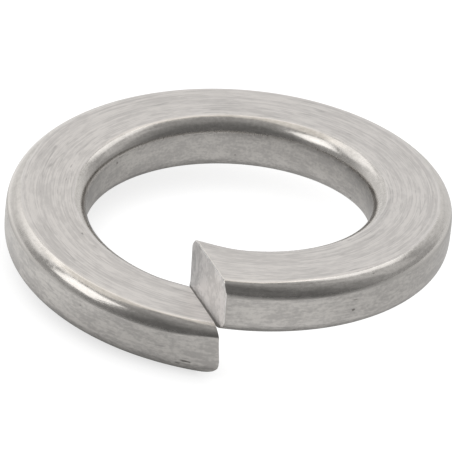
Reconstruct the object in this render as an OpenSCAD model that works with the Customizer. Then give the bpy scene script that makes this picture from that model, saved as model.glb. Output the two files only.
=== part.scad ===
// Spring lock washer: one turn of flat wire with rounded long edges, coiled left-handed
// and cut through on a slant, so that its two ends stand one above the other.
// The coil's axis is +Z, its lowest point is at z = 0 and the cut opens towards -Y.

/* [Ring] */
// Diameter of the bore, which clears a 24 mm screw
bore_d = 24.5; // [16:0.1:60]
// Width of the wire, from the bore to the rim
wire_w = 7; // [3:0.1:14]
// Thickness of the wire, along the axis
wire_t = 5; // [2:0.1:12]

/* [Coil] */
// Height that the wire climbs in one full turn
rise = 4.5; // [0:0.1:12]

/* [Long edges] */
// How far each rounding reaches over the face, and as far down the wall
edge_reach = 1.25; // [0.3:0.05:3]
// Angle through which a rounding turns; at 90 it would meet face and wall without a crease
edge_turn = 54; // [20:1:80]

/* [Cut] */
// Angle between the cut and the radius, where the cut leaves the rim
cut_slant = 24; // [0:1:30]
// Clear distance between the two cut faces
cut_gap = 0.3; // [0.1:0.05:3]
// Chamfer that tumbling leaves round each cut face
cut_chamfer = 0.15; // [0.05:0.05:0.4]

/* [Smoothness] */
// Steps in one turn of the coil
coil_steps = 144; // [36:12:180]
// Steps in the rounding of each long edge
edge_steps = 5; // [3:1:6]

/* [Hidden] */
steel = [0.78, 0.77, 0.76];
full_turn = 360;
bore_r = bore_d / 2;
rim_r = bore_r + wire_w;

// A rounding never takes more than this share of the wire's thinner side
edge_share = 0.4;
reach = min(edge_reach, edge_share * min(wire_w, wire_t));
edge_r = reach / (sqrt(2) * sin(edge_turn / 2));
// Depth of the rounding's centre, under the face and behind the wall alike
edge_centre = reach / 2 + edge_r * cos(edge_turn / 2) / sqrt(2);

// The cut's middle plane is upright and passes the axis at this distance
cut_pass = rim_r * sin(cut_slant);
// How far the trimming cylinders reach past the coil at both ends
trim = 1;
trim_h = wire_t + 2 * rise + 2 * trim;

function reversed(list) = [for (i = [len(list) - 1 : -1 : 0]) list[i]];

// Half of the angle that an inset copy of the rounding turns through
function half_turn(inset) = 45 - acos((edge_centre - inset) / (edge_r - inset));

// Point of the rounding as [distance behind the wall, distance under the face];
// share is 0 where it leaves the face, 1 where it meets the wall
function edge_point(share, inset) =
    let (angle = 45 + half_turn(inset) * (2 * share - 1))
    [edge_centre - (edge_r - inset) * sin(angle), edge_centre - (edge_r - inset) * cos(angle)];

// Rounding from face to wall; the full one runs straight on past the wall, as stock to trim
function rounding(inset) =
    let (
        points = [for (i = [0 : edge_steps]) edge_point(i / edge_steps, inset)],
        wall = points[edge_steps],
        before = points[edge_steps - 1],
        stock = inset > 0 ? wall : 2 * wall - before
    )
    [for (i = [0 : edge_steps]) i < edge_steps ? points[i] : stock];

// Outline of the wire as [radius, height], clockwise from the top face's outer edge
function wire_section(inset) =
    let (edge = rounding(inset))
    concat(
        [for (p = edge) [rim_r - p.x, wire_t - p.y]],
        [for (p = reversed(edge)) [rim_r - p.x, p.y]],
        [for (p = edge) [bore_r + p.x, p.y]],
        [for (p = reversed(edge)) [bore_r + p.x, wire_t - p.y]]
    );

// Angle, clockwise from -Y, at which a plane parallel to the cut crosses a radius
function cut_angle(radius, plane) = asin(plane / radius) - cut_slant;

// A point of the wire, carried round the coil and up with it
function coiled(p, angle) = [
    -p.x * sin(angle),
    -p.x * cos(angle),
    p.y + rise * angle / full_turn
];

// How far a point of the stock stands outside the finished walls
function outside(p) = max(0, p.x - rim_r, bore_r - p.x);

// One outline laid along the cut: share 0 is at the low end, 1 at the high end
function slanted_ring(section, share, back) = [
    for (p = section)
        let (
            low = cut_angle(p.x, cut_pass + cut_gap / 2 + back + outside(p)),
            high = full_turn + cut_angle(p.x, cut_pass - cut_gap / 2 - back - outside(p))
        )
        coiled(p, low + (high - low) * share)
];

// The whole coil before trimming: a chamfered end face, the turn, a chamfered end face
module coil_stock() {
    full = wire_section(0);
    inset = wire_section(cut_chamfer);
    n = len(full);
    rings = concat(
        [slanted_ring(inset, 0, 0)],
        [for (i = [0 : coil_steps]) slanted_ring(full, i / coil_steps, cut_chamfer)],
        [slanted_ring(inset, 1, 0)]
    );
    points = [for (ring = rings) each ring];
    last = len(rings) - 1;
    sides = [
        for (k = [0 : last - 1], j = [0 : n - 1])
            let (here = k * n + j, next = k * n + (j + 1) % n)
            each [[here, next, next + n], [here, next + n, here + n]]
    ];
    low_face = [for (j = [n - 1 : -1 : 0]) j];
    high_face = [for (j = [0 : n - 1]) last * n + j];
    lowest = min([for (p = points) p.z]);
    translate([0, 0, -lowest])
        polyhedron(points, concat([low_face], sides, [high_face]), convexity = 4);
}

// Upright cylinder that the coil is trimmed with, past both of its ends
module trimmer(radius) {
    translate([0, 0, -trim])
        cylinder(r = radius, h = trim_h, $fn = 2 * coil_steps);
}

// The washer: coil stock turned to its rim and reamed to its bore
module spring_lock_washer() {
    color(steel)
        difference() {
            intersection() {
                coil_stock();
                trimmer(rim_r);
            }
            trimmer(bore_r);
        }
}

spring_lock_washer();
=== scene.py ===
"""Looks of the spring lock washer: one smooth coil of steel wire, its finishes, and a plain studio round it.

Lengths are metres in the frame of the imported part: the coil's axis is +Z, it rests on z = 0, and the cut
opens towards -Y. A sweep angle runs clockwise from -Y as seen from above, up the coil. Angles are radians,
but those of the eased stretches, the lamps and the camera are degrees. The finishes give lengths in
millimetres, and how high or deep a pattern goes in microns.
"""

import logging
import math
from collections.abc import Callable
from dataclasses import dataclass
from enum import Enum

import bmesh
import bpy
from mathutils import Matrix, Vector


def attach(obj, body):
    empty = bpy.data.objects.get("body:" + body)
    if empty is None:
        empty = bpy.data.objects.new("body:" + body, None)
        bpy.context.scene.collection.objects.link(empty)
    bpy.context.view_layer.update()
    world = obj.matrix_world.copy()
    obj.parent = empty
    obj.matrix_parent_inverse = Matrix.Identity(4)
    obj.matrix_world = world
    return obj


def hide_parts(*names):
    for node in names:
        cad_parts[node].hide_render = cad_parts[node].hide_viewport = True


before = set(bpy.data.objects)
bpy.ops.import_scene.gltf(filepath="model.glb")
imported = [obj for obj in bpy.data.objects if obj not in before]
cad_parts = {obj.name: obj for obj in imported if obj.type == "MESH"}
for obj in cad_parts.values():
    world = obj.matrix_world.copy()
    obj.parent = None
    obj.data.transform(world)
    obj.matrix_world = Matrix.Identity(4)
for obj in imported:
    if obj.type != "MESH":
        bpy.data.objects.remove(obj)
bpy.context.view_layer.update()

MM = 0.001
MICRON = 0.000001
FULL_TURN = 2 * math.pi
TURN_DEGREES = 360
MIDDLE = 0.5
COIL_ATTRIBUTE = "coil"

Colour = tuple[float, float, float]
Range = tuple[float, float]
Feed = float | tuple[float, ...] | bpy.types.NodeSocket
Test = Callable[[Vector, Vector], bool]

log = logging.getLogger("washer")


class Region(Enum):
    """The kinds of surface on the washer, numbered as its material slots are."""

    FACE = 0
    WALL = 1
    EDGE = 2
    END = 3


class End(Enum):
    """The two cut ends of the coil: LOW starts it on the floor, HIGH finishes it a turn later."""

    LOW = 0
    HIGH = 1


class Corner(Enum):
    """The corners of the wire's section, each by its side and its lift as seen from the middle."""

    INNER_BOTTOM = (-1, -1)
    INNER_TOP = (-1, 1)
    OUTER_BOTTOM = (1, -1)
    OUTER_TOP = (1, 1)


def share_between(value: float, low: float, high: float) -> float:
    """Says how far a value is on its way from low to high, from 0 to 1."""
    return min(max((value - low) / (high - low), 0.0), 1.0)


def smooth_step(value: float, low: float, high: float) -> float:
    """Rises smoothly from 0 at low to 1 at high."""
    share = share_between(value, low, high)
    return share * share * (3 - 2 * share)


def direction(azimuth: float, elevation: float) -> Vector:
    """Finds the direction of a place that is seen from the washer.

    Args:
        azimuth: Degrees round +Z from +X.
        elevation: Degrees over the floor.

    Returns:
        The direction, one unit long.
    """
    bearing = math.radians(azimuth)
    height = math.radians(elevation)
    level = math.cos(height)
    return Vector((level * math.cos(bearing), level * math.sin(bearing), math.sin(height)))


@dataclass(frozen=True)
class CutLevel:
    """An end of the wire at one height: its slant to the radius, and how far it is set back at the rim."""

    height: float
    slant: float
    offset: float


@dataclass(frozen=True)
class LipStep:
    """A step of the thin lip round a cut face: how far it runs in over the face, and out from it."""

    inward: float
    outward: float


@dataclass(frozen=True)
class CutFace:
    """An end of the wire, straight from each of its levels to the next, with its lip."""

    levels: tuple[CutLevel, ...]
    lip: tuple[LipStep, ...]

    def at(self, height: float) -> tuple[float, float]:
        """Reads the cut at a height.

        Args:
            height: The height over the floor.

        Returns:
            The slant and the offset there.
        """
        slant = self.levels[0].slant
        offset = self.levels[0].offset
        for low, high in zip(self.levels, self.levels[1:]):
            share = share_between(height, low.height, high.height)
            slant += (high.slant - low.slant) * share
            offset += (high.offset - low.offset) * share
        return slant, offset

    def normal(self, height: float) -> Vector:
        """Finds the level direction square to the cut, pointing into the low end.

        Args:
            height: The height over the floor.

        Returns:
            The direction.
        """
        slant, _ = self.at(height)
        return Vector((-math.cos(slant), -math.sin(slant), 0.0))

    def distance(self, rim_r: float, height: float) -> float:
        """Finds how far the cut passes the axis, measured along its normal.

        Args:
            rim_r: Outer radius of the coil.
            height: The height over the floor.

        Returns:
            The distance.
        """
        slant, offset = self.at(height)
        return rim_r * math.sin(slant) + offset


@dataclass(frozen=True)
class CoilSizes:
    """Sizes of the coil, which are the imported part's."""

    bore_r: float = 12.25 * MM
    wire_w: float = 7.0 * MM
    wire_t: float = 5.0 * MM
    rise: float = 4.5 * MM
    edge_reach: float = 1.25 * MM
    edge_turn: float = math.radians(54)

    @property
    def rim_r(self) -> float:
        """Outer radius of the coil."""
        return self.bore_r + self.wire_w

    @property
    def mean_r(self) -> float:
        """Radius of the middle of the wire."""
        return self.bore_r + self.wire_w / 2

    @property
    def edge_r(self) -> float:
        """Radius of the arc that rounds a long edge."""
        return self.edge_reach / (math.sqrt(2) * math.sin(self.edge_turn / 2))

    @property
    def edge_centre(self) -> float:
        """Distance of that arc's centre from both sides of the wire's corner."""
        return self.edge_reach / 2 + self.edge_r * math.cos(self.edge_turn / 2) / math.sqrt(2)

    def coiled(self, radius: float, height: float, angle: float) -> Vector:
        """Carries a point of the wire's section round the coil and up with it.

        Args:
            radius: The point's distance from the axis.
            height: Its height over the wire's lowest side.
            angle: The sweep angle.

        Returns:
            The place.
        """
        lift = height + self.rise * angle / FULL_TURN
        return Vector((-radius * math.sin(angle), -radius * math.cos(angle), lift))


class Bench:
    """Edit mode on one object, for use in a with statement."""

    def __init__(self, piece: bpy.types.Object, mode: str = "VERT") -> None:
        """Remembers the piece and how its parts are selected.

        Args:
            piece: The mesh object to work on.
            mode: VERT or FACE.
        """
        self.piece = piece
        self.mode = mode

    def __enter__(self) -> "Bench":
        """Opens edit mode with nothing selected.

        Returns:
            The bench.
        """
        bpy.ops.object.select_all(action="DESELECT")
        self.piece.select_set(True)
        bpy.context.view_layer.objects.active = self.piece
        bpy.ops.object.mode_set(mode="EDIT")
        bpy.ops.mesh.select_mode(type=self.mode)
        bpy.ops.mesh.select_all(action="DESELECT")
        return self

    def __exit__(self, *_: object) -> None:
        """Closes edit mode."""
        bpy.ops.object.mode_set(mode="OBJECT")

    def pick(self, test: Test) -> None:
        """Selects the vertices or faces that pass a test, and nothing else.

        Args:
            test: Told the place of a vertex, or the middle of a face, and its coil coordinates.
        """
        bpy.ops.mesh.select_all(action="DESELECT")
        shape = bmesh.from_edit_mesh(self.piece.data)
        layer = shape.verts.layers.float_vector.get(COIL_ATTRIBUTE)
        by_point = self.mode == "VERT"
        for part in shape.verts if by_point else shape.faces:
            corners = (part,) if by_point else part.verts
            place = part.co if by_point else part.calc_center_median()
            coil = sum((corner[layer] for corner in corners), Vector()) / len(corners) if layer else Vector()
            if test(place, coil):
                part.select_set(True)
        shape.select_flush_mode()
        bmesh.update_edit_mesh(self.piece.data)


@dataclass
class WireSection:
    """The outline of the wire, drawn upright over -Y: four arcs joined by four flats."""

    sizes: CoilSizes
    circle_points: int = 60
    hold: float = 0.25 * MM
    flat_cuts: int = 5
    face_fillet: float = 0.16 * MM
    wall_fillet: float = 0.08 * MM
    fillet_cuts: int = 3
    near: float = 0.001 * MM
    near_angle: float = 0.001

    def draw(self) -> bpy.types.Object:
        """Draws the outline as a loop of edges.

        Returns:
            The new object, its place in its mesh.
        """
        bpy.ops.object.select_all(action="DESELECT")
        bpy.ops.mesh.primitive_circle_add(
            vertices=self.circle_points,
            radius=self.sizes.edge_r,
            fill_type="NOTHING",
            location=(0.0, -self.sizes.mean_r, self.sizes.wire_t / 2),
            rotation=(math.pi / 2, 0.0, math.pi / 2),
        )
        outline = bpy.context.object
        bpy.ops.object.transform_apply(location=True, rotation=True, scale=True)
        with Bench(outline) as bench:
            self._keep_arcs(bench)
            self._spread_corners(bench)
            self._join_flats(bench)
            self._ease_creases(bench)
        return outline

    def _from_middle(self, place: Vector) -> tuple[float, float]:
        """Gives a place in the section as its distances outwards and upwards from the wire's middle."""
        return -place.y - self.sizes.mean_r, place.z - self.sizes.wire_t / 2

    def _keep_arcs(self, bench: Bench) -> None:
        """Deletes the parts of the circle between the four corner arcs.

        Args:
            bench: Edit mode on the outline.
        """
        quarter = math.pi / 2
        widest = self.sizes.edge_turn / 2 + self.near_angle

        def spare(place: Vector, _: Vector) -> bool:
            """Says whether a point of the circle lies outside the arcs."""
            out, up = self._from_middle(place)
            return abs(math.atan2(up, out) % quarter - quarter / 2) > widest

        bench.pick(spare)
        bpy.ops.mesh.delete(type="VERT")

    def _spread_corners(self, bench: Bench) -> None:
        """Moves each arc from the middle to its corner of the wire.

        Args:
            bench: Edit mode on the outline.
        """
        across = self.sizes.wire_w / 2 - self.sizes.edge_centre
        upwards = self.sizes.wire_t / 2 - self.sizes.edge_centre
        for corner in Corner:
            bench.pick(self._in_quarter(corner))
            side, lift = corner.value
            bpy.ops.transform.translate(value=(0.0, -side * across, lift * upwards))

    def _join_flats(self, bench: Bench) -> None:
        """Joins the arcs by flats, each with a holding point beside both of its creases.

        Args:
            bench: Edit mode on the outline.
        """
        half_w = self.sizes.wire_w / 2
        half_t = self.sizes.wire_t / 2
        reach = self.sizes.edge_reach
        flats = (
            ((half_w, half_t - reach), (0, -1)),
            ((-half_w, half_t - reach), (0, -1)),
            ((half_w - reach, half_t), (-1, 0)),
            ((half_w - reach, -half_t), (-1, 0)),
        )
        for (out, up), (step_out, step_up) in flats:
            far_out = out if step_out == 0 else -out
            far_up = up if step_up == 0 else -up
            for start_out, start_up, turn in ((out, up, 1), (far_out, far_up, -1)):
                bench.pick(self._at((start_out, start_up)))
                step = (0.0, -turn * step_out * self.hold, turn * step_up * self.hold)
                bpy.ops.mesh.extrude_vertices_move(TRANSFORM_OT_translate={"value": step})
            first = (out + step_out * self.hold, up + step_up * self.hold)
            last = (far_out - step_out * self.hold, far_up - step_up * self.hold)
            bench.pick(self._at(first, last))
            bpy.ops.mesh.edge_face_add()
            bpy.ops.mesh.subdivide(number_cuts=self.flat_cuts)

    def _ease_creases(self, bench: Bench) -> None:
        """Rounds the creases between the arcs and the flats a little.

        Args:
            bench: Edit mode on the outline.
        """
        half_w = self.sizes.wire_w / 2
        half_t = self.sizes.wire_t / 2
        reach = self.sizes.edge_reach
        creases = (
            (half_w, half_t - reach, self.wall_fillet),
            (half_w - reach, half_t, self.face_fillet),
        )
        for out, up, fillet in creases:
            spots = [(side * out, lift * up) for side, lift in (corner.value for corner in Corner)]
            bench.pick(self._at(*spots))
            bpy.ops.mesh.bevel(offset=fillet, segments=self.fillet_cuts, affect="VERTICES")

    def _in_quarter(self, corner: Corner) -> Test:
        """Makes a test for the points in one quarter of the section.

        Args:
            corner: The quarter's corner.

        Returns:
            The test.
        """
        side, lift = corner.value

        def test(place: Vector, _: Vector) -> bool:
            """Says whether a point is in the quarter."""
            out, up = self._from_middle(place)
            return out * side > 0 and up * lift > 0

        return test

    def _at(self, *spots: tuple[float, float]) -> Test:
        """Makes a test for the points at some places of the section."""
        return lambda place, _: any(math.dist(self._from_middle(place), spot) < self.near for spot in spots)


@dataclass(frozen=True)
class Dub:
    """A stretch of a long edge, near an end, whose rounding is narrower or shallower than elsewhere.

    Its middle is measured from the end, and its rounding is pulled towards the wire's corner by two shares.
    """

    end: End
    corner: Corner
    middle: float
    half: float
    narrower: float
    shallower: float


@dataclass
class WasherCoil:
    """The washer itself: the wire swept up one turn, its ends laid along the slanted cut."""

    sizes: CoilSizes
    steps: int = 360
    cuts: tuple[CutFace, CutFace] = (
        CutFace(
            levels=(
                CutLevel(height=0.0, slant=math.radians(24.0), offset=1.2 * MM),
                CutLevel(height=0.3 * MM, slant=math.radians(24.0), offset=0.95 * MM),
                CutLevel(height=0.5 * MM, slant=math.radians(24.0), offset=0.55 * MM),
                CutLevel(height=0.75 * MM, slant=math.radians(24.0), offset=0.27 * MM),
                CutLevel(height=1.15 * MM, slant=math.radians(24.0), offset=0.06 * MM),
                CutLevel(height=1.65 * MM, slant=math.radians(24.0), offset=-0.03 * MM),
                CutLevel(height=3.75 * MM, slant=math.radians(23.6), offset=0.16 * MM),
                CutLevel(height=5.0 * MM, slant=math.radians(23.5), offset=0.18 * MM),
            ),
            lip=(
                LipStep(inward=0.015 * MM, outward=0.02 * MM),
                LipStep(inward=0.02 * MM, outward=0.01 * MM),
                LipStep(inward=0.01 * MM, outward=0.0),
            ),
        ),
        CutFace(
            levels=(
                CutLevel(height=4.7 * MM, slant=math.radians(23.4), offset=-0.13 * MM),
                CutLevel(height=5.15 * MM, slant=math.radians(23.0), offset=-0.24 * MM),
                CutLevel(height=9.5 * MM, slant=math.radians(23.1), offset=-0.13 * MM),
            ),
            lip=(
                LipStep(inward=0.06 * MM, outward=0.08 * MM),
                LipStep(inward=0.03 * MM, outward=0.02 * MM),
                LipStep(inward=0.02 * MM, outward=0.0),
            ),
        ),
    )
    wall_ease: float = 0.7 * MM
    wall_ease_grows: Range = (25.0, 65.0)
    wall_ease_fades: Range = (300.0, 335.0)
    face_ease: float = 0.7 * MM
    face_ease_grows: Range = (338.0, 350.0)
    dubs: tuple[Dub, ...] = (
        Dub(End.LOW, Corner.OUTER_TOP, middle=0.0, half=4.6 * MM, narrower=0.05, shallower=0.36),
        Dub(End.LOW, Corner.OUTER_TOP, middle=4.5 * MM, half=4.5 * MM, narrower=0.10, shallower=0.0),
        Dub(End.LOW, Corner.INNER_TOP, middle=0.0, half=4.0 * MM, narrower=0.15, shallower=0.15),
        Dub(End.HIGH, Corner.OUTER_TOP, middle=0.0, half=7.0 * MM, narrower=0.3, shallower=0.0),
        Dub(End.HIGH, Corner.INNER_TOP, middle=0.0, half=5.0 * MM, narrower=0.35, shallower=0.2),
        Dub(End.HIGH, Corner.INNER_BOTTOM, middle=0.0, half=4.0 * MM, narrower=0.6, shallower=0.6),
    )
    passes: int = 6
    near: float = 0.001 * MM
    cut_reach: float = 0.002 * MM
    behind_cut: float = 0.0005 * MM
    least_facing: float = 0.05
    face_facing: float = 0.45
    smooth_below: float = math.radians(29)
    name: str = "washer_coil"

    def build(self) -> bpy.types.Object:
        """Models the coil.

        Returns:
            The finished piece, still without materials.
        """
        piece = WireSection(self.sizes).draw()
        piece.name = self.name
        piece.data.name = self.name
        outline = [(-point.co.y, point.co.z) for point in piece.data.vertices]
        self._lay_along_cut(piece)
        self._sweep(piece)
        self._meet_cut(piece, outline)
        for end in End:
            self._close(piece, end)
        self._settle(piece)
        return piece

    def _end_angle(self, end: End, radius: float, height: float) -> float:
        """Finds the sweep angle at which a line of the wire meets an end.

        The cut changes with height and the line climbs as it turns, so the angle is found in a few passes.

        Args:
            end: The end.
            radius: The line's radius.
            height: Its height in the section.

        Returns:
            The angle.
        """
        cut = self.cuts[end.value]
        whole = 0.0 if end is End.LOW else FULL_TURN
        angle = whole
        for _ in range(self.passes):
            lifted = height + self.sizes.rise * angle / FULL_TURN
            slant = cut.at(lifted)[0]
            angle = whole + math.asin(cut.distance(self.sizes.rim_r, lifted) / radius) - slant
        return angle

    def _lay_along_cut(self, piece: bpy.types.Object) -> None:
        """Moves each point of the outline round the axis, and up the coil, onto the low cut.

        Args:
            piece: The outline over -Y.
        """
        for point in piece.data.vertices:
            radius = -point.co.y
            angle = self._end_angle(End.LOW, radius, point.co.z)
            point.co = self.sizes.coiled(radius, point.co.z, angle)

    def _sweep(self, piece: bpy.types.Object) -> None:
        """Sweeps the outline one turn up the coil.

        Args:
            piece: The outline, which becomes the coil.
        """
        screw = piece.modifiers.new("sweep", "SCREW")
        screw.axis = "Z"
        screw.angle = -FULL_TURN
        screw.screw_offset = self.sizes.rise
        screw.steps = screw.render_steps = self.steps
        screw.use_smooth_shade = True
        bpy.ops.object.select_all(action="DESELECT")
        piece.select_set(True)
        bpy.context.view_layer.objects.active = piece
        bpy.ops.object.modifier_apply(modifier=screw.name)

    def _meet_cut(self, piece: bpy.types.Object, outline: list[tuple[float, float]]) -> None:
        """Lays every line of the sweep from the low cut to the high one, and stores the coil coordinates.

        Args:
            piece: The swept coil.
            outline: Radius and height of each point of the wire's section.
        """
        layer = piece.data.attributes.new(COIL_ATTRIBUTE, "FLOAT_VECTOR", "POINT")
        for number, point in enumerate(piece.data.vertices):
            section = Vector(outline[number % len(outline)])
            share = number // len(outline) / self.steps
            place = self._dubbed(self._eased(section, share), share)
            first = self._end_angle(End.LOW, place.x, place.y)
            last = self._end_angle(End.HIGH, place.x, place.y)
            angle = first + (last - first) * share
            point.co = self.sizes.coiled(place.x, place.y, angle)
            layer.data[number].vector = (angle * self.sizes.mean_r, section.x, section.y)

    def _eased(self, place: Vector, share: float) -> Vector:
        """Runs the roundings smoothly into the flats where the photo shows no crease between them.

        Args:
            place: A point of the section, as radius and height.
            share: How far along the wire it is, from 0 to 1.

        Returns:
            The point, moved if it is near such a crease.
        """
        sizes = self.sizes
        sweep = TURN_DEGREES * share
        side = 1 if place.x > sizes.mean_r else -1
        lift = 1 if place.y > sizes.wire_t / 2 else -1
        wall = smooth_step(sweep, *self.wall_ease_grows) * (1 - smooth_step(sweep, *self.wall_ease_fades))
        face = 0.0
        if Corner((side, lift)) is Corner.OUTER_TOP:
            face = smooth_step(sweep, *self.face_ease_grows)
        inward = sizes.wire_w / 2 - side * (place.x - sizes.mean_r)
        down = sizes.wire_t / 2 - lift * (place.y - sizes.wire_t / 2)
        inward, down = self._ease_crease(inward, down, wall, self.wall_ease)
        down, inward = self._ease_crease(down, inward, face, self.face_ease)
        height = sizes.wire_t / 2 + lift * (sizes.wire_t / 2 - down)
        return Vector((sizes.mean_r + side * (sizes.wire_w / 2 - inward), height))

    def _ease_crease(
        self,
        depth: float,
        from_corner: float,
        weight: float,
        ease: float,
    ) -> tuple[float, float]:
        """Bends a point near a crease onto a smooth run from the flat into the rounding.

        Args:
            depth: The point's depth behind the flat.
            from_corner: Its distance along the flat from the wire's corner.
            weight: How much it is bent, from 0 to 1.
            ease: How far the smooth run reaches on both sides of the crease.

        Returns:
            The new depth and distance.
        """
        sizes = self.sizes
        centre = sizes.edge_centre
        crease = (math.pi / 2 - sizes.edge_turn) / 2
        if from_corner >= sizes.edge_reach:
            along = sizes.edge_reach - from_corner
            sharp_depth = 0.0
            sharp_from_corner = from_corner
        else:
            turned = math.atan2(centre - from_corner, centre - depth)
            along = sizes.edge_r * (turned - crease)
            sharp_depth = centre - sizes.edge_r * math.cos(turned)
            sharp_from_corner = centre - sizes.edge_r * math.sin(turned)
        if weight == 0 or abs(along) >= ease:
            return depth, from_corner
        pull = crease / (4 * ease) * (ease - abs(along)) ** 2
        facing = crease * (along + ease) / (2 * ease)
        depth += (sharp_depth + pull * math.cos(facing) - depth) * weight
        from_corner += (sharp_from_corner + pull * math.sin(facing) - from_corner) * weight
        return depth, from_corner

    def _dubbed(self, place: Vector, share: float) -> Vector:
        """Narrows the rounding of a long edge, or makes it shallower, where a dub says so.

        Args:
            place: A point of the section, as radius and height.
            share: How far along the wire it is, from 0 to 1.

        Returns:
            The point, moved if it is on such a rounding.
        """
        reach = self.sizes.edge_reach
        length = FULL_TURN * self.sizes.mean_r
        for dub in self.dubs:
            side, lift = dub.corner.value
            corner_r = self.sizes.rim_r if side > 0 else self.sizes.bore_r
            corner_z = self.sizes.wire_t if lift > 0 else 0.0
            from_end = length * (share if dub.end is End.LOW else 1 - share)
            bell = 1 - smooth_step(abs(from_end - dub.middle), 0.0, dub.half)
            away = max(abs(place.x - corner_r), abs(place.y - corner_z))
            fade = bell * min(max(2 - away / reach, 0.0), 1.0) * min(1.0, reach / max(away, self.near))
            moved_r = place.x + (corner_r - place.x) * dub.narrower * fade
            moved_z = place.y + (corner_z - place.y) * dub.shallower * fade
            place = Vector((moved_r, moved_z))
        return place

    def _close(self, piece: bpy.types.Object, end: End) -> None:
        """Fills one end with the cut face and raises the lip round it.

        Args:
            piece: The swept coil.
            end: The end to close.
        """
        with Bench(piece, "VERT") as bench:
            bench.pick(lambda place, coil: self._on_cut(place, coil, end))
            bpy.ops.mesh.edge_face_add()
            bpy.ops.mesh.select_all(action="SELECT")
            bpy.ops.mesh.normals_make_consistent(inside=False)
        with Bench(piece, "FACE") as bench:
            bench.pick(lambda _, coil: self._of_end(coil, end) and self._inside(coil))
            for step in self.cuts[end.value].lip:
                bpy.ops.mesh.inset(thickness=step.inward, depth=step.outward)

    def _on_cut(self, place: Vector, coil: Vector, end: End) -> bool:
        """Says whether a place of the wire lies on the surface of one of its ends."""
        return self._of_end(coil, end) and abs(self._past(place, end)) < self.cut_reach

    def _of_end(self, coil: Vector, end: End) -> bool:
        """Says whether a place of the wire is in the half of the turn that an end belongs to."""
        return (coil.x > FULL_TURN / 2 * self.sizes.mean_r) == (end is End.HIGH)

    def _inside(self, coil: Vector) -> bool:
        """Says whether a place is well inside the wire's section, where only a cut face has its middle."""
        return math.dist(coil.yz, (self.sizes.mean_r, self.sizes.wire_t / 2)) < self.sizes.wire_t / 4

    def _past(self, place: Vector, end: End) -> float:
        """Says how far a place stands from an end's cut, towards the low end's side."""
        cut = self.cuts[end.value]
        return place.dot(cut.normal(place.z)) - cut.distance(self.sizes.rim_r, place.z)

    def _settle(self, piece: bpy.types.Object) -> None:
        """Turns the faces outwards, smooths the coil and stands its lowest point on the floor.

        Args:
            piece: The coil with both ends cut.
        """
        with Bench(piece, "FACE"):
            bpy.ops.mesh.select_all(action="SELECT")
            bpy.ops.mesh.normals_make_consistent(inside=False)
        bpy.ops.object.shade_smooth_by_angle(angle=self.smooth_below)
        lowest = min(point.co.z for point in piece.data.vertices)
        piece.data.transform(Matrix.Translation((0.0, 0.0, -lowest)))

    def dress(self, piece: bpy.types.Object, finishes: dict[Region, bpy.types.Material]) -> None:
        """Gives each region of the coil its finish.

        Args:
            piece: The finished coil.
            finishes: The material of each region.
        """
        for region in Region:
            piece.data.materials.append(finishes[region])
        layer = piece.data.attributes[COIL_ATTRIBUTE].data
        for face in piece.data.polygons:
            coil = sum((layer[number].vector for number in face.vertices), Vector()) / len(face.vertices)
            face.material_index = self._region(face.center, face.normal, coil).value

    def _region(self, place: Vector, normal: Vector, coil: Vector) -> Region:
        """Says which region a face belongs to.

        The lip's steep steps shine like the long edges, so they are of their region.

        Args:
            place: The middle of the face.
            normal: The face's normal.
            coil: The middle of the face in coil coordinates.

        Returns:
            The region.
        """
        sizes = self.sizes
        end = End.HIGH if self._of_end(coil, End.HIGH) else End.LOW
        lowest = sizes.coiled(sizes.mean_r, 0.0, coil.x / sizes.mean_r).z
        unsettled = place + Vector((0.0, 0.0, lowest + coil.z - place.z))
        past = self._past(unsettled, end) * (1 if end is End.LOW else -1)
        facing = normal.dot(self.cuts[end.value].normal(unsettled.z)) ** 2
        at_front = place.y < -sizes.bore_r / 2
        if at_front and past < self.behind_cut and facing > self.least_facing:
            return Region.END if facing > self.face_facing else Region.EDGE
        side = min(coil.y - sizes.bore_r, sizes.rim_r - coil.y)
        height = min(coil.z, sizes.wire_t - coil.z)
        if max(side, height) < sizes.edge_reach:
            return Region.EDGE if coil.z > sizes.wire_t / 2 else Region.WALL
        return Region.WALL if side < height else Region.FACE


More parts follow.
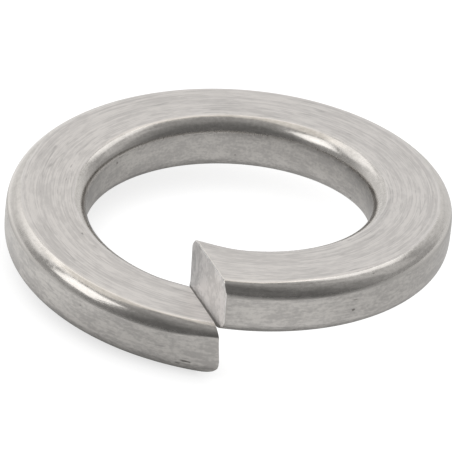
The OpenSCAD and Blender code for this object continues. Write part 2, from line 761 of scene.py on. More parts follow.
class Nodes:
    """Short calls that add nodes to one tree and link them.

    A Mix node has its two colours at the inputs MIX_COLOURS, and their mix at the output MIX_RESULT.
    """

    MIX_COLOURS = (6, 7)
    MIX_RESULT = 2

    def __init__(self, tree: bpy.types.NodeTree) -> None:
        """Remembers the tree."""
        self.tree = tree

    def add(
        self,
        kind: str,
        feeds: dict[str | int, Feed] | None = None,
        **settings: object,
    ) -> bpy.types.Node:
        """Adds a node.

        Args:
            kind: The node's type.
            feeds: What each input gets, by its name or number.
            settings: The node's own settings.

        Returns:
            The node.
        """
        node = self.tree.nodes.new(kind)
        for key, value in settings.items():
            setattr(node, key, value)
        for key, value in (feeds or {}).items():
            self.feed(node.inputs[key], value)
        return node

    def feed(self, socket: bpy.types.NodeSocket, value: Feed) -> None:
        """Links an input to a socket, or sets it to a value.

        Args:
            socket: The input.
            value: An output socket, a number or a tuple of numbers.
        """
        if isinstance(value, bpy.types.NodeSocket):
            self.tree.links.new(value, socket)
        elif socket.type == "RGBA":
            socket.default_value = (*value, 1.0)
        else:
            socket.default_value = value

    def math(
        self,
        operation: str,
        first: Feed,
        second: Feed = 0.0,
        third: Feed = 0.0,
    ) -> bpy.types.NodeSocket:
        """Adds a Math node.

        Args:
            operation: Its operation.
            first: Its first input.
            second: Its second input.
            third: Its third input, where the operation has one.

        Returns:
            Its output.
        """
        node = self.add("ShaderNodeMath", {0: first, 1: second, 2: third}, operation=operation)
        return node.outputs[0]

    def vector(
        self,
        operation: str,
        feeds: dict[str | int, Feed],
        output: str | int = 0,
    ) -> bpy.types.NodeSocket:
        """Adds a Vector Math node.

        Args:
            operation: Its operation.
            feeds: What each input gets, by its name or number.
            output: The output that is wanted, by its name or number.

        Returns:
            That output.
        """
        return self.add("ShaderNodeVectorMath", feeds, operation=operation).outputs[output]

    def parts(self, place: Feed) -> bpy.types.bpy_prop_collection:
        """Splits a vector into its outputs X, Y and Z."""
        return self.add("ShaderNodeSeparateXYZ", {0: place}).outputs

    def joined(self, *parts: Feed) -> bpy.types.NodeSocket:
        """Joins three numbers into a vector."""
        return self.add("ShaderNodeCombineXYZ", dict(enumerate(parts))).outputs[0]

    def blend(self, share: Feed, first: Feed, second: Feed) -> bpy.types.NodeSocket:
        """Mixes two colours.

        Args:
            share: How much of the second, from 0 to 1.
            first: The first colour.
            second: The second colour.

        Returns:
            The mixed colour.
        """
        first_input, second_input = self.MIX_COLOURS
        feeds = {0: share, first_input: first, second_input: second}
        return self.add("ShaderNodeMix", feeds, data_type="RGBA").outputs[self.MIX_RESULT]

    def span(
        self,
        value: Feed,
        low: Feed,
        high: Feed,
        to_low: Feed = 0.0,
        to_high: Feed = 1.0,
    ) -> bpy.types.NodeSocket:
        """Maps a range of values smoothly to another range and stops at its ends.

        Args:
            value: The value to map.
            low: The value that gives to_low.
            high: The value that gives to_high.
            to_low: The result at low.
            to_high: The result at high.

        Returns:
            The mapped value.
        """
        node = self.add(
            "ShaderNodeMapRange",
            {"Value": value, "From Min": low, "From Max": high, "To Min": to_low, "To Max": to_high},
            interpolation_type="SMOOTHSTEP",
        )
        return node.outputs["Result"]

    def fall(self, value: Feed, low: Feed, high: Feed) -> bpy.types.NodeSocket:
        """Falls smoothly from 1 at low to 0 at high."""
        return self.span(value, low, high, to_low=1.0, to_high=0.0)


class Effect:
    """A shader node group in the making, with its named inputs and its one output."""

    def __init__(self, name: str, inputs: dict[str, float | None], output: str) -> None:
        """Makes the group and its sockets.

        Args:
            name: The group's name.
            inputs: The start value of each input, or None for the coil coordinates.
            output: The name of the output.
        """
        self.tree = bpy.data.node_groups.new(name, "ShaderNodeTree")
        for label, start in inputs.items():
            kind = "NodeSocketVector" if start is None else "NodeSocketFloat"
            socket = self.tree.interface.new_socket(name=label, in_out="INPUT", socket_type=kind)
            if start is not None:
                socket.default_value = start
        self.tree.interface.new_socket(name=output, in_out="OUTPUT", socket_type="NodeSocketFloat")
        self.nodes = Nodes(self.tree)
        self.given = self.nodes.add("NodeGroupInput").outputs
        self.result = self.nodes.add("NodeGroupOutput").inputs[output]

    def stretched(self, along: Feed, across: Feed) -> bpy.types.NodeSocket:
        """Scales the coil coordinates for a pattern.

        Args:
            along: Length of one pattern step along the wire, in millimetres.
            across: Length of one pattern step across the wire, in millimetres.

        Returns:
            The coordinates in pattern steps.
        """
        make = self.nodes
        per_along = make.math("DIVIDE", 1 / MM, along)
        per_across = make.math("DIVIDE", 1 / MM, across)
        scale = make.joined(per_along, per_across, per_across)
        return make.vector("MULTIPLY", {0: self.given["Coil"], 1: scale})

    def from_wall(self, radius: Feed, sizes: CoilSizes) -> bpy.types.NodeSocket:
        """Finds how far a radius is from the nearer wall of the wire.

        Args:
            radius: The radius.
            sizes: Sizes of the coil.

        Returns:
            The distance.
        """
        inner = self.nodes.math("SUBTRACT", radius, sizes.bore_r)
        outer = self.nodes.math("SUBTRACT", sizes.rim_r, radius)
        return self.nodes.math("MINIMUM", inner, outer)

    def by_half(self, radius: Feed, sizes: CoilSizes) -> bpy.types.NodeSocket:
        """Gives 1 over the outer half of the wire, and the input Inner share over its inner half.

        Args:
            radius: The radius.
            sizes: Sizes of the coil.

        Returns:
            The share.
        """
        outer = self.nodes.math("GREATER_THAN", radius, sizes.mean_r)
        inner_share = self.given["Inner share"]
        more = self.nodes.math("SUBTRACT", 1.0, inner_share)
        return self.nodes.math("MULTIPLY_ADD", outer, more, inner_share)

    def noise(self, place: Feed, seed: Feed, detail: float, rough: float) -> bpy.types.NodeSocket:
        """Adds a noise between 0 and 1.

        Args:
            place: Where the noise is read, in pattern steps.
            seed: A number that picks the noise.
            detail: How many finer layers it has.
            rough: How strong the finer layers are.

        Returns:
            The noise.
        """
        feeds = {"Vector": place, "W": seed, "Scale": 1.0, "Detail": detail, "Roughness": rough}
        return self.nodes.add("ShaderNodeTexNoise", feeds, noise_dimensions="4D").outputs["Fac"]


class EffectLibrary:
    """The node groups that the finishes share, each built once."""

    def __init__(self, sizes: CoilSizes) -> None:
        """Builds the groups.

        Args:
            sizes: Sizes of the coil, for the effects that follow its shape.
        """
        self.grain = self._grain()
        self.scratches = self._scratches()
        self.pits = self._pits()
        self.wear_and_highlight = self._wear_and_highlight(sizes)
        self.satin = self._satin(sizes)
        self.rub_and_shade = self._rub_and_shade(sizes)
        self.gap_shade = self._gap_shade()
        self.nick = self._nick()

    def _grain(self) -> bpy.types.NodeTree:
        """Builds the grain: an even noise, drawn out along the wire.

        Returns:
            The group.
        """
        inputs = {"Coil": None, "Along mm": 10.0, "Across mm": 0.3, "Seed": 0.0}
        effect = Effect("steel_grain", inputs, "Grain")
        place = effect.stretched(effect.given["Along mm"], effect.given["Across mm"])
        raw = effect.noise(place, effect.given["Seed"], detail=3.0, rough=0.6)
        level = effect.nodes.span(raw, low=0.28, high=0.72)
        effect.nodes.feed(effect.result, level)
        return effect.tree

    def _scratches(self) -> bpy.types.NodeTree:
        """Builds the scratches: thin lines along the wire, broken up in patches.

        Returns:
            The group.
        """
        inputs = {"Coil": None, "Along mm": 12.0, "Across mm": 0.6, "Width": 0.02, "Share": 0.4, "Seed": 0.0}
        patch_seed = 7.3
        patch_limit = 0.8
        patch_range = 0.6
        patch_fade = 0.08
        effect = Effect("steel_scratches", inputs, "Scratch")
        make = effect.nodes
        place = effect.stretched(effect.given["Along mm"], effect.given["Across mm"])
        raw = effect.noise(place, effect.given["Seed"], detail=1.0, rough=0.4)
        off_line = make.math("ABSOLUTE", make.math("SUBTRACT", raw, MIDDLE))
        line = make.fall(off_line, 0.0, effect.given["Width"])
        other_seed = make.math("ADD", effect.given["Seed"], patch_seed)
        patch = effect.noise(effect.stretched(along=3.0, across=1.2), other_seed, detail=2.0, rough=0.6)
        limit = make.math("SUBTRACT", patch_limit, make.math("MULTIPLY", effect.given["Share"], patch_range))
        there = make.span(patch, limit, make.math("ADD", limit, patch_fade))
        make.feed(effect.result, make.math("MULTIPLY", line, there))
        return effect.tree

    def _pits(self) -> bpy.types.NodeTree:
        """Builds the pits: small spots in some cells of a pattern.

        Returns:
            The group.
        """
        inputs = {"Coil": None, "Cell mm": 0.8, "Stretch": 1.5, "Size": 0.25, "Share": 0.3, "Seed": 0.0}
        core_share = 0.4
        effect = Effect("steel_pits", inputs, "Pit")
        make = effect.nodes
        along = make.math("MULTIPLY", effect.given["Cell mm"], effect.given["Stretch"])
        place = effect.stretched(along, effect.given["Cell mm"])
        feeds = {"Vector": place, "W": effect.given["Seed"], "Scale": 1.0}
        cells = make.add("ShaderNodeTexVoronoi", feeds, voronoi_dimensions="4D").outputs
        core = make.math("MULTIPLY", effect.given["Size"], core_share)
        spot = make.fall(cells["Distance"], core, effect.given["Size"])
        draw = make.add("ShaderNodeSeparateColor", {0: cells["Color"]}).outputs[0]
        chosen = make.math("LESS_THAN", draw, effect.given["Share"])
        make.feed(effect.result, make.math("MULTIPLY", spot, chosen))
        return effect.tree

    def _wear_and_highlight(self, sizes: CoilSizes) -> bpy.types.NodeTree:
        """Builds the bright crease line: partly burnished, partly a painted highlight, along each crease of
        the wire.

        Args:
            sizes: Sizes of the coil.

        Returns:
            The group.
        """
        inputs = {"Coil": None, "Width mm": 0.15, "Seed": 0.0}
        effect = Effect("crease_wear_and_highlight", inputs, "Wear and highlight")
        make = effect.nodes
        parts = make.parts(effect.given["Coil"])
        side = effect.from_wall(parts["Y"], sizes)
        height = make.math("MINIMUM", parts["Z"], make.math("SUBTRACT", sizes.wire_t, parts["Z"]))
        from_crease = make.math("SUBTRACT", side, sizes.edge_reach)
        width = make.math("MULTIPLY", effect.given["Width mm"], MM)
        line = make.fall(make.math("ABSOLUTE", from_crease), 0.0, width)
        near_face = make.fall(height, low=0.25 * MM, high=0.45 * MM)
        line = make.math("MULTIPLY", line, near_face)
        place = effect.stretched(along=4.0, across=1.5)
        patches = effect.noise(place, effect.given["Seed"], detail=2.0, rough=0.6)
        uneven = make.span(patches, low=0.3, high=0.6)
        make.feed(effect.result, make.math("MULTIPLY", line, uneven))
        return effect.tree

    def _satin(self, sizes: CoilSizes) -> bpy.types.NodeTree:
        """Builds the satin: the stretch of the turn, away from the cut, that no handling has polished.

        Args:
            sizes: Sizes of the coil.

        Returns:
            The group.
        """
        inputs = {"Coil": None, "From deg": 48.0, "To deg": 300.0, "Fade deg": 30.0, "Inner share": 0.15}
        effect = Effect("satin_stretch", inputs, "Satin")
        make = effect.nodes
        parts = make.parts(effect.given["Coil"])
        sweep = make.math("MULTIPLY", parts["X"], TURN_DEGREES / (FULL_TURN * sizes.mean_r))
        first = effect.given["From deg"]
        last = effect.given["To deg"]
        fade = effect.given["Fade deg"]
        rise = make.span(sweep, first, make.math("ADD", first, fade))
        fall = make.fall(sweep, make.math("SUBTRACT", last, fade), last)
        share = effect.by_half(parts["Y"], sizes)
        make.feed(effect.result, make.math("MULTIPLY", make.math("MULTIPLY", rise, fall), share))
        return effect.tree

    def _rub_and_shade(self, sizes: CoilSizes) -> bpy.types.NodeTree:
        """Builds the darker band where the wall's drawn finish, with its painted shade, runs on into the
        rounding above it.

        Args:
            sizes: Sizes of the coil.

        Returns:
            The group.
        """
        effect = Effect("wall_rub_and_shade", {"Coil": None, "Reach mm": 0.22, "Inner share": 0.45}, "Rub and shade")
        make = effect.nodes
        radius = make.parts(effect.given["Coil"])["Y"]
        side = make.math("MULTIPLY", effect.from_wall(radius, sizes), 1 / MM)
        rub_and_shade = make.fall(side, 0.0, effect.given["Reach mm"])
        make.feed(effect.result, make.math("MULTIPLY", rub_and_shade, effect.by_half(radius, sizes)))
        return effect.tree

    def _gap_shade(self) -> bpy.types.NodeTree:
        """Builds the painted gap shade: a dark uneven band along the lower side of a cut face, where the gap
        between the ends lies in shade.

        Returns:
            The group.
        """
        wobble_mm = 0.3
        effect = Effect("painted_gap_shade", {"Coil": None, "Top mm": 0.82, "Fade mm": 0.22, "Seed": 0.0}, "Gap shade")
        make = effect.nodes
        height = make.parts(effect.given["Coil"])["Z"]
        place = effect.stretched(along=0.4, across=0.4)
        wobble = effect.noise(place, effect.given["Seed"], detail=2.0, rough=0.6)
        measured = make.math("MULTIPLY_ADD", height, 1 / MM, make.math("MULTIPLY", wobble, wobble_mm))
        start = make.math("SUBTRACT", effect.given["Top mm"], effect.given["Fade mm"])
        make.feed(effect.result, make.fall(measured, start, effect.given["Top mm"]))
        return effect.tree

    def _nick(self) -> bpy.types.NodeTree:
        """Builds the nick: one small dent with a ragged rim at a given place of the coil.

        Returns:
            The group.
        """
        inputs = {
            "Coil": None,
            "Along mm": 0.0,
            "Radius mm": 0.0,
            "Height mm": 0.0,
            "Long mm": 0.5,
            "Wide mm": 0.1,
            "Seed": 0.0,
        }
        effect = Effect("steel_nick", inputs, "Nick")
        make = effect.nodes
        centre = make.joined(*(effect.given[label] for label in ("Along mm", "Radius mm", "Height mm")))
        here = make.vector("SCALE", {0: effect.given["Coil"], "Scale": 1 / MM})
        away = make.vector("SUBTRACT", {0: here, 1: centre})
        halves = make.joined(*(effect.given[label] for label in ("Long mm", "Wide mm", "Wide mm")))
        in_halves = make.vector("DIVIDE", {0: away, 1: halves})
        far = make.vector("LENGTH", {0: in_halves}, "Value")
        place = effect.stretched(along=0.25, across=0.12)
        ragged = effect.noise(place, effect.given["Seed"], detail=2.0, rough=0.6)
        make.feed(effect.result, make.fall(make.math("ADD", far, ragged), low=0.9, high=1.5))
        return effect.tree


@dataclass(frozen=True)
class Grain:
    """How a grain looks: its steps in millimetres, height in microns, and swing in tone and roughness."""

    along: float
    across: float
    height: float
    tone: float
    gloss: float

    @property
    def feeds(self) -> dict[str, float]:
        """Inputs of the grain's node group."""
        return {"Along mm": self.along, "Across mm": self.across}


@dataclass(frozen=True)
class Pits:
    """How pits look: cell in millimetres, stretch, size in cells, share of cells, depth in microns, shade."""

    cell: float
    stretch: float
    size: float
    share: float
    depth: float
    shade: float

    @property
    def feeds(self) -> dict[str, float]:
        """Inputs of the pits' node group."""
        return {"Cell mm": self.cell, "Stretch": self.stretch, "Size": self.size, "Share": self.share}


@dataclass(frozen=True)
class Scratches:
    """How scratches look: steps in millimetres, width, share of patches, depth in microns, strength."""

    along: float
    across: float
    width: float
    share: float
    depth: float
    shade: float

    @property
    def feeds(self) -> dict[str, float]:
        """Inputs of the scratches' node group."""
        return {
            "Along mm": self.along,
            "Across mm": self.across,
            "Width": self.width,
            "Share": self.share,
        }


@dataclass(frozen=True)
class Mark:
    """A single nick: its place and half sizes in millimetres, its depth in microns and its darkness."""

    along: float
    radius: float
    height: float
    long: float
    wide: float
    depth: float
    shade: float

    @property
    def feeds(self) -> dict[str, float]:
        """Inputs of the nick's node group."""
        return {
            "Along mm": self.along,
            "Radius mm": self.radius,
            "Height mm": self.height,
            "Long mm": self.long,
            "Wide mm": self.wide,
        }


class Pattern(Enum):
    """The patterns of a finish after its grains, each with the number that sets it apart from the others."""

    PITS = 20
    SCRATCHES = 30
    WEAR = 40
    FOOT = 50
    NICKS = 60


@dataclass(frozen=True)
class SteelFinish:
    """One finish of the steel, from its colours and the strength of each effect."""

    name: str
    light: Colour
    dark: Colour
    roughness: float
    grains: tuple[Grain, ...]
    pits: Pits
    scratches: Scratches
    # Dark colour of the pits and nicks, also used for the painted shade low on a cut face.
    pit_and_shade_colour: Colour = (0.16, 0.15, 0.14)
    pit_rough: float = 0.15
    scratch_colour: Colour = (0.3, 0.29, 0.28)
    # Colour, width and strength of the bright crease line: partly burnishing, partly a painted highlight.
    wear_and_highlight_colour: Colour = (0.90, 0.87, 0.84)
    wear_and_highlight_width: float = 0.24
    wear_and_highlight: float = 0.0
    satin: float = 0.0
    # Strength, colour and roughness of the band where the wall finish runs on into the rounding; its darker
    # colour is partly painted shade carried over from the wall.
    rub_and_shade: float = 0.0
    rub_and_shade_colour: Colour = (0.42, 0.405, 0.385)
    rub_rough: float = 0.2
    # Strength of the painted shade low on a cut face.
    gap_shade: float = 0.0
    marks: tuple[Mark, ...] = ()
    seed: float = 0.0

    def material(self, effects: EffectLibrary) -> bpy.types.Material:
        """Makes the material.

        Args:
            effects: The shared node groups.

        Returns:
            The material.
        """
        steel = bpy.data.materials.new(self.name)
        steel.use_nodes = True
        steel.node_tree.nodes.clear()
        make = Nodes(steel.node_tree)
        coil = make.add("ShaderNodeAttribute", attribute_name=COIL_ATTRIBUTE).outputs["Vector"]
        tone: Feed = MIDDLE
        rough: Feed = self.roughness
        height: Feed = 0.0
        for number, grain in enumerate(self.grains):
            level = self._read(make, effects.grain, coil, number, grain.feeds)
            swing = make.math("SUBTRACT", level, MIDDLE)
            tone = make.math("MULTIPLY_ADD", swing, grain.tone, tone)
            rough = make.math("MULTIPLY_ADD", swing, grain.gloss, rough)
            height = make.math("MULTIPLY_ADD", level, grain.height * MICRON, height)
        pit = self._read(make, effects.pits, coil, Pattern.PITS.value, self.pits.feeds)
        scratch = self._read(make, effects.scratches, coil, Pattern.SCRATCHES.value, self.scratches.feeds)
        # Painted highlight, partly burnishing: a bright line along the creases.
        wear_and_highlight = self._read(make, effects.wear_and_highlight, coil, Pattern.WEAR.value, {"Width mm": self.wear_and_highlight_width})
        colour = make.blend(tone, self.dark, self.light)
        colour = make.blend(make.math("MULTIPLY", wear_and_highlight, self.wear_and_highlight), colour, self.wear_and_highlight_colour)
        colour = make.blend(make.math("MULTIPLY", scratch, self.scratches.shade), colour, self.scratch_colour)
        colour = make.blend(make.math("MULTIPLY", pit, self.pits.shade), colour, self.pit_and_shade_colour)
        if self.satin:
            satin = self._read(make, effects.satin, coil)
            rough = make.math("MULTIPLY_ADD", satin, self.satin, rough)
        # The wall's darker colour, partly painted shade, carried on into the rounding.
        if self.rub_and_shade:
            rub_and_shade = self._read(make, effects.rub_and_shade, coil)
            colour = make.blend(make.math("MULTIPLY", rub_and_shade, self.rub_and_shade), colour, self.rub_and_shade_colour)
            rough = make.math("MULTIPLY_ADD", rub_and_shade, self.rub_rough, rough)
        # Painted shade: a dark band low on a cut face, in the gap between the ends.
        if self.gap_shade:
            gap_shade = self._read(make, effects.gap_shade, coil, Pattern.FOOT.value)
            colour = make.blend(make.math("MULTIPLY", gap_shade, self.gap_shade), colour, self.pit_and_shade_colour)
        for number, mark in enumerate(self.marks):
            nick = self._read(make, effects.nick, coil, Pattern.NICKS.value + number, mark.feeds)
            colour = make.blend(make.math("MULTIPLY", nick, mark.shade), colour, self.pit_and_shade_colour)
            height = make.math("MULTIPLY_ADD", nick, -mark.depth * MICRON, height)
        height = make.math("MULTIPLY_ADD", pit, -self.pits.depth * MICRON, height)
        height = make.math("MULTIPLY_ADD", scratch, -self.scratches.depth * MICRON, height)
        rough = make.math("MULTIPLY_ADD", pit, self.pit_rough, rough)
        bump = make.add("ShaderNodeBump", {"Strength": 1.0, "Distance": 1.0, "Height": height}).outputs[0]
        shader = make.add(
            "ShaderNodeBsdfPrincipled",
            {"Base Color": colour, "Metallic": 1.0, "Roughness": rough, "Normal": bump},
        )
        make.add("ShaderNodeOutputMaterial", {"Surface": shader.outputs[0]})
        return steel

    def _read(
        self,
        make: Nodes,
        group: bpy.types.NodeTree,
        coil: bpy.types.NodeSocket,
        number: int = 0,
        values: dict[str, float] | None = None,
    ) -> bpy.types.NodeSocket:
        """Places a shared effect in the material.

        Args:
            make: The material's nodes.
            group: The effect.
            coil: The coil coordinates.
            number: Sets its pattern apart from the others, where it has one.
            values: The effect's other inputs.

        Returns:
            The effect's output.
        """
        node = make.add("ShaderNodeGroup", node_tree=group)
        make.feed(node.inputs["Coil"], coil)
        if "Seed" in node.inputs:
            make.feed(node.inputs["Seed"], self.seed + number)
        for label, value in (values or {}).items():
            make.feed(node.inputs[label], value)
        return node.outputs[0]


def washer_finishes(effects: EffectLibrary) -> dict[Region, bpy.types.Material]:
    """Makes the four finishes of the washer.

    Args:
        effects: The shared node groups.

    Returns:
        The material of each region.
    """
    lapped = SteelFinish(
        name="lapped_face",
        light=(0.75, 0.72, 0.695),
        dark=(0.60, 0.575, 0.555),
        roughness=0.36,
        grains=(
            Grain(along=9.0, across=0.12, height=3.0, tone=1.3, gloss=0.12),
            Grain(along=1.2, across=0.3, height=3.0, tone=0.9, gloss=0.05),
            Grain(along=5.0, across=1.2, height=0.0, tone=0.9, gloss=0.05),
        ),
        pits=Pits(cell=1.6, stretch=2.0, size=0.12, share=0.10, depth=4.0, shade=0.5),
        scratches=Scratches(along=14.0, across=0.7, width=0.02, share=0.5, depth=2.0, shade=0.35),
        # Bright crease line: partly burnishing, partly a painted highlight.
        wear_and_highlight=0.35,
        marks=(
            Mark(along=16.8, radius=14.15, height=5.0, long=0.25, wide=0.10, depth=20.0, shade=0.6),
            Mark(along=28.6, radius=14.35, height=5.0, long=0.45, wide=0.06, depth=10.0, shade=0.45),
            Mark(along=26.2, radius=14.30, height=5.0, long=0.40, wide=0.06, depth=10.0, shade=0.45),
        ),
        seed=1.0,
    )
    # The wall's darker colours are partly the drawn finish and partly painted shade, for the darker floor
    # that the walls reflect.
    drawn = SteelFinish(
        name="drawn_and_shaded_wall",
        light=(0.535, 0.515, 0.49),
        dark=(0.38, 0.365, 0.35),
        roughness=0.40,
        grains=(
            Grain(along=1.2, across=0.25, height=5.0, tone=1.0, gloss=0.10),
            Grain(along=0.35, across=0.25, height=6.0, tone=1.0, gloss=0.12),
            Grain(along=3.0, across=1.2, height=0.0, tone=1.0, gloss=0.05),
        ),
        pits=Pits(cell=0.8, stretch=1.3, size=0.2, share=0.35, depth=14.0, shade=0.8),
        scratches=Scratches(along=9.0, across=0.8, width=0.02, share=0.4, depth=4.0, shade=0.6),
        marks=(
            Mark(along=2.30, radius=19.25, height=1.44, long=0.45, wide=0.09, depth=40.0, shade=0.85),
            Mark(along=2.85, radius=19.15, height=1.05, long=0.25, wide=0.12, depth=30.0, shade=0.6),
            Mark(along=89.4, radius=19.25, height=3.06, long=0.30, wide=0.06, depth=15.0, shade=0.5),
        ),
        seed=2.0,
    )
    rolled = SteelFinish(
        name="rolled_edge",
        light=(0.71, 0.68, 0.645),
        dark=(0.565, 0.54, 0.51),
        roughness=0.18,
        grains=(
            Grain(along=0.35, across=0.25, height=0.25, tone=0.7, gloss=0.05),
            Grain(along=2.5, across=0.3, height=0.8, tone=0.7, gloss=0.05),
            Grain(along=1.6, across=0.8, height=1.0, tone=0.5, gloss=0.04),
        ),
        # Bright crease line: partly burnishing, partly a painted highlight.
        wear_and_highlight=0.7,
        satin=0.16,
        # Darker band above the wall, partly painted shade.
        rub_and_shade=0.9,
        marks=(Mark(along=18.4, radius=12.8, height=4.6, long=0.45, wide=0.22, depth=20.0, shade=0.5),),
        pits=Pits(cell=0.7, stretch=1.6, size=0.14, share=0.2, depth=5.0, shade=0.4),
        scratches=Scratches(along=8.0, across=0.5, width=0.02, share=0.3, depth=2.0, shade=0.3),
        seed=3.0,
    )
    sheared = SteelFinish(
        name="sheared_end",
        light=(0.97, 0.955, 0.95),
        dark=(0.76, 0.75, 0.745),
        roughness=0.38,
        grains=(
            Grain(along=0.25, across=1.6, height=6.0, tone=1.2, gloss=0.10),
            Grain(along=0.3, across=0.4, height=6.0, tone=1.3, gloss=0.08),
            Grain(along=1.2, across=1.5, height=0.0, tone=1.6, gloss=0.05),
        ),
        # Painted shade low on the cut face, in the gap between the ends.
        gap_shade=0.8,
        pits=Pits(cell=0.8, stretch=1.0, size=0.16, share=0.3, depth=8.0, shade=0.6),
        scratches=Scratches(along=2.0, across=0.6, width=0.03, share=0.3, depth=3.0, shade=0.3),
        seed=4.0,
    )
    chosen = {Region.FACE: lapped, Region.WALL: drawn, Region.EDGE: rolled, Region.END: sheared}
    return {region: finish.material(effects) for region, finish in chosen.items()}


@dataclass(frozen=True)
class SoftBox:
    """A soft lamp, placed by its direction and its spread in degrees, as seen from the washer."""

    name: str
    azimuth: float
    elevation: float
    wide: float
    tall: float
    brightness: float
    colour: Colour = (1.0, 1.0, 1.0)
    distance: float = 0.5

    def hang(self) -> None:
        """Hangs the lamp, facing the washer."""
        way = direction(self.azimuth, self.elevation)
        lamp = bpy.data.lights.new(self.name, "AREA")
        lamp.shape = "RECTANGLE"
        lamp.size = 2 * self.distance * math.tan(math.radians(self.wide / 2))
        lamp.size_y = 2 * self.distance * math.tan(math.radians(self.tall / 2))
        lamp.energy = math.pi * lamp.size * lamp.size_y * self.brightness
        lamp.color = self.colour
        holder = bpy.data.objects.new(self.name, lamp)
        holder.location = way * self.distance
        holder.rotation_euler = way.to_track_quat("Z", "Y").to_euler()
        holder.visible_camera = False
        bpy.context.collection.objects.link(holder)


@dataclass(frozen=True)
class FloorStep:
    """A smooth step, from one place along X to another, in how light the floor looks in the steel."""

    start: float
    stop: float
    change: float


@dataclass
class Studio:
    """The pale floor, the soft surroundings and the lamps."""

    floor_size: float = 6.0
    floor_colour: Colour = (0.32, 0.32, 0.32)
    floor_lift: float = 0.96
    mirrored: float = 0.96
    mirrored_steps: tuple[FloorStep, ...] = (
        FloorStep(start=-20 * MM, stop=-12 * MM, change=-0.28),
        FloorStep(start=-8 * MM, stop=8 * MM, change=0.20),
        FloorStep(start=14 * MM, stop=22 * MM, change=-0.20),
    )
    contact: float = 3.0 * MM
    shade: float = 4.0 * MM
    shadow: float = 0.3
    shadow_samples: int = 8
    under: float = 0.62
    under_rim: Range = (18.5 * MM, 22.0 * MM)
    under_bore: Range = (7.0 * MM, 10.0 * MM)
    under_right: Range = (-3.0 * MM, 2.0 * MM)
    under_front: Range = (0.0, 6.0 * MM)
    front: float = 0.17
    sides: float = 0.40
    back: float = 0.83
    back_azimuth: float = 97.0
    front_to_sides: Range = (-0.70, -0.03)
    sides_to_back: Range = (0.33, 0.81)
    lamps: tuple[SoftBox, ...] = (
        SoftBox("left_box", azimuth=-169.4, elevation=40.3, wide=27.0, tall=26.0, brightness=1.32),
        SoftBox("back_left_box", azimuth=141.0, elevation=40.4, wide=34.0, tall=26.0, brightness=0.63),
        SoftBox("back_right_box", azimuth=44.0, elevation=52.0, wide=20.0, tall=25.0, brightness=0.89),
        SoftBox(
            "warm_box",
            azimuth=115.0,
            elevation=65.7,
            wide=55.0,
            tall=30.0,
            brightness=0.52,
            colour=(1.0, 0.95, 0.87),
        ),
        SoftBox("right_box", azimuth=15.0, elevation=41.0, wide=22.0, tall=40.0, brightness=0.20),
    )

    def build(self) -> bpy.types.Object:
        """Builds the studio, apart from the camera.

        Returns:
            The floor.
        """
        self._surround()
        for lamp in self.lamps:
            lamp.hang()
        bpy.ops.object.select_all(action="DESELECT")
        bpy.ops.mesh.primitive_plane_add(size=self.floor_size)
        floor = bpy.context.object
        floor.name = "floor"
        floor.data.materials.append(self._floor_paint())
        return floor

    def _surround(self) -> None:
        """Makes the world: a bright wall at the back, softer sides and a dim front."""
        world = bpy.data.worlds.new("studio")
        bpy.context.scene.world = world
        world.use_nodes = True
        world.node_tree.nodes.clear()
        make = Nodes(world.node_tree)
        towards = tuple(direction(self.back_azimuth, elevation=0.0))
        way = make.add("ShaderNodeTexCoord").outputs["Generated"]
        facing = make.vector("DOT_PRODUCT", {0: way, 1: towards}, "Value")
        around = make.span(facing, *self.front_to_sides, self.front, self.sides)
        extra = make.span(facing, *self.sides_to_back, to_high=self.back - self.sides)
        strength = make.math("ADD", around, extra)
        light = make.add("ShaderNodeBackground", {"Color": (1.0, 1.0, 1.0), "Strength": strength}).outputs[0]
        make.add("ShaderNodeOutputWorld", {"Surface": light})

    def _floor_paint(self) -> bpy.types.Material:
        """Makes the floor's material: pale, white to the camera and in the steel, with the shadow kept.

        Returns:
            The material.
        """
        paint = bpy.data.materials.new("pale_floor")
        paint.use_nodes = True
        paint.node_tree.nodes.clear()
        make = Nodes(paint.node_tree)
        matt = make.add("ShaderNodeBsdfDiffuse", {"Color": self.floor_colour}).outputs[0]
        rays = make.add("ShaderNodeLightPath").outputs
        direct = make.math("MAXIMUM", rays["Is Camera Ray"], rays["Is Transmission Ray"])
        place = make.add("ShaderNodeTexCoord").outputs["Object"]
        sideways = make.parts(place)["X"]
        level: Feed = self.mirrored
        for step in self.mirrored_steps:
            change = make.span(sideways, step.start, step.stop, to_high=step.change)
            level = make.math("ADD", level, change)
        level = make.math("MULTIPLY", level, self._beneath(make, place))
        mirrored = make.math("MULTIPLY", rays["Is Glossy Ray"], level)
        reach = make.math("MULTIPLY_ADD", rays["Is Glossy Ray"], self.shade - self.contact, self.contact)
        occlusion = make.add("ShaderNodeAmbientOcclusion", {"Distance": reach}, samples=self.shadow_samples)
        open_sky = occlusion.outputs["AO"]
        softened = make.math("MULTIPLY_ADD", open_sky, self.shadow, 1 - self.shadow)
        seen = make.math("MULTIPLY", make.math("MULTIPLY", direct, self.floor_lift), softened)
        lift = make.math("ADD", seen, make.math("MULTIPLY", mirrored, open_sky))
        glow = make.add("ShaderNodeEmission", {"Strength": lift}).outputs[0]
        front = make.add("ShaderNodeAddShader", {0: matt, 1: glow}).outputs[0]
        clear = make.add("ShaderNodeBsdfTransparent").outputs[0]
        below = make.add("ShaderNodeNewGeometry").outputs["Backfacing"]
        both = make.add("ShaderNodeMixShader", {0: below, 1: front, 2: clear}).outputs[0]
        make.add("ShaderNodeOutputMaterial", {"Surface": both})
        return paint

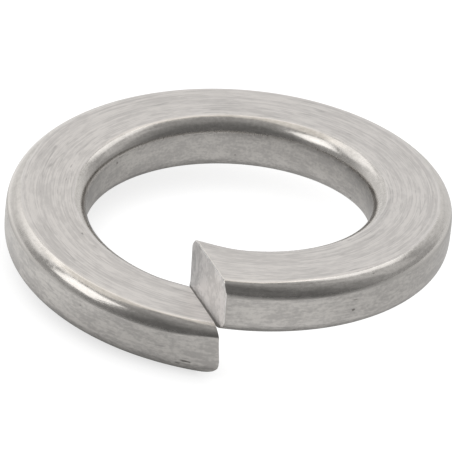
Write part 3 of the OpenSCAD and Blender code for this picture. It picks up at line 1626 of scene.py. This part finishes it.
    def _beneath(self, make: Nodes, place: bpy.types.NodeSocket) -> bpy.types.NodeSocket:
        """Finds how light the floor is in the steel, which is less beneath the lifted part of the coil.

        Args:
            make: The floor's nodes.
            place: Where on the floor.

        Returns:
            The lightness, 1 in the open.
        """
        parts = make.parts(place)
        away = make.vector("LENGTH", {0: place}, "Value")
        inside = make.fall(away, *self.under_rim)
        ring = make.math("MULTIPLY", inside, make.span(away, *self.under_bore))
        right = make.span(parts["X"], *self.under_right)
        front = make.fall(parts["Y"], *self.under_front)
        patch = make.math("MULTIPLY", ring, make.math("MULTIPLY", right, front))
        return make.math("MULTIPLY_ADD", patch, -self.under, 1.0)


@dataclass(frozen=True)
class PhotoCamera:
    """The camera, where the photograph was taken from."""

    azimuth: float = -91.4
    elevation: float = 30.4836
    roll: float = 5.9265
    distance: float = 0.4829
    lens: float = 439.015
    target: tuple[float, float, float] = (0.0, 0.0, 4.75 * MM)
    aim_right: float = 0.064 * MM
    aim_down: float = 1.17 * MM
    sensor_width: float = 36.0
    nearest: float = 0.01
    farthest: float = 20.0
    name: str = "photo_camera"

    def _turned(self, back: Vector) -> Matrix:
        """Turns a camera to look against a direction, rolled as the photo is.

        Args:
            back: The direction from what it looks at to the camera.

        Returns:
            The turn.
        """
        return back.to_track_quat("Z", "Y").to_matrix() @ Matrix.Rotation(math.radians(self.roll), 3, "Z")

    def place(self) -> bpy.types.Object:
        """Adds the camera and makes it the scene's.

        Returns:
            The camera.
        """
        back = direction(self.azimuth, self.elevation)
        turn = self._turned(back)
        stand = Vector(self.target) + back * self.distance
        aim = Vector(self.target) + turn.col[0] * self.aim_right - turn.col[1] * self.aim_down
        rotation = self._turned(stand - aim).to_quaternion()
        view = bpy.data.cameras.new(self.name)
        view.lens = self.lens
        view.sensor_width = self.sensor_width
        view.clip_start = self.nearest
        view.clip_end = self.farthest
        camera = bpy.data.objects.new(self.name, view)
        camera.matrix_world = Matrix.LocRotScale(stand, rotation, None)
        bpy.context.collection.objects.link(camera)
        bpy.context.scene.camera = camera
        return camera


def main() -> None:
    """Builds the washer, then the studio, and reports each piece."""
    logging.basicConfig(level=logging.INFO, format="%(name)s: %(message)s")
    bpy.context.scene.view_settings.view_transform = "Standard"
    sizes = CoilSizes()
    coil = WasherCoil(sizes)
    piece = coil.build()
    coil.dress(piece, washer_finishes(EffectLibrary(sizes)))
    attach(piece, "root")
    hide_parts("spring_lock_washer")
    log.info("%s has %d faces", piece.name, len(piece.data.polygons))
    floor = Studio().build()
    camera = PhotoCamera().place()
    log.info("%s and %s are in place", floor.name, camera.name)


if __name__ == "__main__":
    main()
